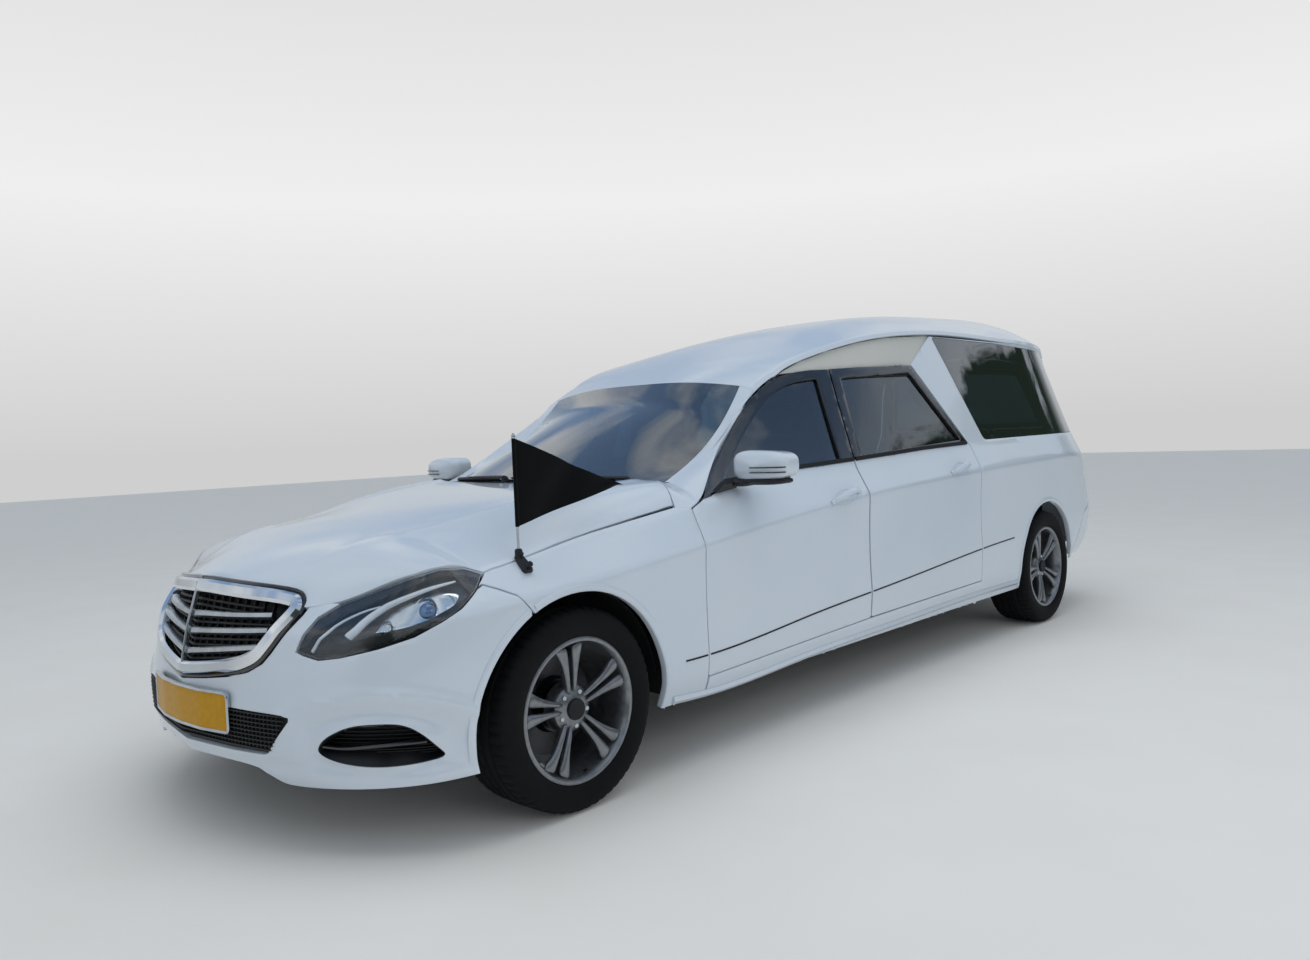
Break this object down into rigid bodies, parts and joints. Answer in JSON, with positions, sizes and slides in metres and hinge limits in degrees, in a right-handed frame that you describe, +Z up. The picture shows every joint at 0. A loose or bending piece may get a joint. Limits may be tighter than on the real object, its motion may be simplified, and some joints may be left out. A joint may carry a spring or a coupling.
{
  "type": "hearse",
  "caption": "Long hearse with four side doors, a raised domed roof, long side windows, a rear loading door and a flag on the wing.",
  "frame": {"origin": "on the ground at the middle of the bounding box, between the wheels", "axes": "+X is the vehicle's left, -Y its front, +Z up"},
  "size_m": [2.144, 5.6115, 1.8058],
  "materials": {
    "white_paint": "gloss",
    "tinted_glass": "gloss",
    "lamp_glass": "gloss",
    "red_lens": "gloss",
    "chrome": "gloss",
    "black_plastic": "satin",
    "underbody_steel": "matte",
    "engine_alloy": "matte",
    "steel_pipe": "satin",
    "seat_leather": "satin",
    "deck_wood": "satin",
    "plate_yellow": "gloss",
    "staff_steel": "gloss",
    "flag_cloth": "matte",
    "tyre_rubber": "matte",
    "grey_alloy": "satin",
    "brake_steel": "satin"
  },
  "bodies": {
    "body": {"floor_pan": "underbody_steel", "body_side_left": "white_paint", "body_side_right": "white_paint", "roof": "white_paint", "windscreen": "tinted_glass", "load_window_left": "tinted_glass", "load_window_right": "tinted_glass", "front_wing_left": "white_paint", "front_wing_right": "white_paint", "cowl_panel": "black_plastic", "front_bumper": "white_paint", "headlamp_left": "lamp_glass", "headlamp_right": "lamp_glass", "grille": "chrome", "rear_bumper": "white_paint", "tail_lamps": "red_lens", "dashboard": "black_plastic", "partition": "black_plastic", "front_seats": "seat_leather", "casket_deck": "deck_wood", "engine_block": "engine_alloy", "front_subframe": "underbody_steel", "exhaust": "steel_pipe", "rear_axle": "underbody_steel", "number_plates": "plate_yellow", "staff_clamp": "black_plastic", "flag_staff": "staff_steel", "flag": "flag_cloth", "front_wheel_housings": "black_plastic", "rear_wheel_housings": "black_plastic", "bulkhead": "underbody_steel"},
    "bonnet": {"bonnet": "white_paint"},
    "tailgate": {"tailgate": "white_paint", "tailgate_window": "tinted_glass"},
    "steering_wheel": {"steering_wheel": "black_plastic"},
    "front_door_left": {"front_door_left": "white_paint", "front_door_window_left": "tinted_glass", "door_mirror_left": "white_paint"},
    "rear_door_left": {"rear_door_left": "white_paint", "rear_door_window_left": "tinted_glass"},
    "knuckle_left": {"knuckle_left": "underbody_steel"},
    "front_wheel_left": {"tyre_front_left": "tyre_rubber", "rim_front_left": "grey_alloy", "brake_disc_front_left": "brake_steel"},
    "rear_wheel_left": {"tyre_rear_left": "tyre_rubber", "rim_rear_left": "grey_alloy", "brake_disc_rear_left": "brake_steel"},
    "front_door_right": {"front_door_right": "white_paint", "front_door_window_right": "tinted_glass", "door_mirror_right": "white_paint"},
    "rear_door_right": {"rear_door_right": "white_paint", "rear_door_window_right": "tinted_glass"},
    "knuckle_right": {"knuckle_right": "underbody_steel"},
    "front_wheel_right": {"tyre_front_right": "tyre_rubber", "rim_front_right": "grey_alloy", "brake_disc_front_right": "brake_steel"},
    "rear_wheel_right": {"tyre_rear_right": "tyre_rubber", "rim_rear_right": "grey_alloy", "brake_disc_rear_right": "brake_steel"}
  },
  "joints": [
    {"name": "front_door_left_hinge", "type": "hinge", "parent": "body", "child": "front_door_left", "pos_m": [0.93, -1.348, 0.7], "axis": [0, 0, -1], "range_deg": [0, 66]},
    {"name": "rear_door_left_hinge", "type": "hinge", "parent": "body", "child": "rear_door_left", "pos_m": [0.93, -0.249, 0.7], "axis": [0, 0, -1], "range_deg": [0, 68]},
    {"name": "front_door_right_hinge", "type": "hinge", "parent": "body", "child": "front_door_right", "pos_m": [-0.93, -1.348, 0.7], "axis": [0, 0, 1], "range_deg": [0, 66]},
    {"name": "rear_door_right_hinge", "type": "hinge", "parent": "body", "child": "rear_door_right", "pos_m": [-0.93, -0.249, 0.7], "axis": [0, 0, 1], "range_deg": [0, 68]},
    {"name": "bonnet_hinge", "type": "hinge", "parent": "body", "child": "bonnet", "pos_m": [0, -1.347, 1], "axis": [-1, 0, 0], "range_deg": [0, 55]},
    {"name": "tailgate_hinge", "type": "hinge", "parent": "body", "child": "tailgate", "pos_m": [0, 2.473, 1.598], "axis": [1, 0, 0], "range_deg": [0, 80]},
    {"name": "steer_left", "type": "hinge", "parent": "body", "child": "knuckle_left", "pos_m": [0.72, -1.945, 0.318], "axis": [0, 0, 1], "range_deg": [-36, 36]},
    {"name": "steer_right", "type": "hinge", "parent": "body", "child": "knuckle_right", "pos_m": [-0.72, -1.945, 0.318], "axis": [0, 0, 1], "range_deg": [-36, 36]},
    {"name": "steering_wheel_turn", "type": "hinge", "parent": "body", "child": "steering_wheel", "pos_m": [0.37, -0.915, 0.905], "axis": [0, 0.9063, 0.4226], "range_deg": [-504, 504]},
    {"name": "front_wheel_left_spin", "type": "hinge", "parent": "knuckle_left", "child": "front_wheel_left", "pos_m": [0.79, -1.945, 0.318], "axis": [1, 0, 0], "continuous": true},
    {"name": "rear_wheel_left_spin", "type": "hinge", "parent": "body", "child": "rear_wheel_left", "pos_m": [0.8, 1.669, 0.318], "axis": [1, 0, 0], "continuous": true},
    {"name": "front_wheel_right_spin", "type": "hinge", "parent": "knuckle_right", "child": "front_wheel_right", "pos_m": [-0.79, -1.945, 0.318], "axis": [1, 0, 0], "continuous": true},
    {"name": "rear_wheel_right_spin", "type": "hinge", "parent": "body", "child": "rear_wheel_right", "pos_m": [-0.8, 1.669, 0.318], "axis": [1, 0, 0], "continuous": true}
  ],
  "couplings": [
    {"joint": "steer_right", "follows": "steer_left", "ratio": 1},
    {"joint": "steering_wheel_turn", "follows": "steer_left", "ratio": 14}
  ]
}
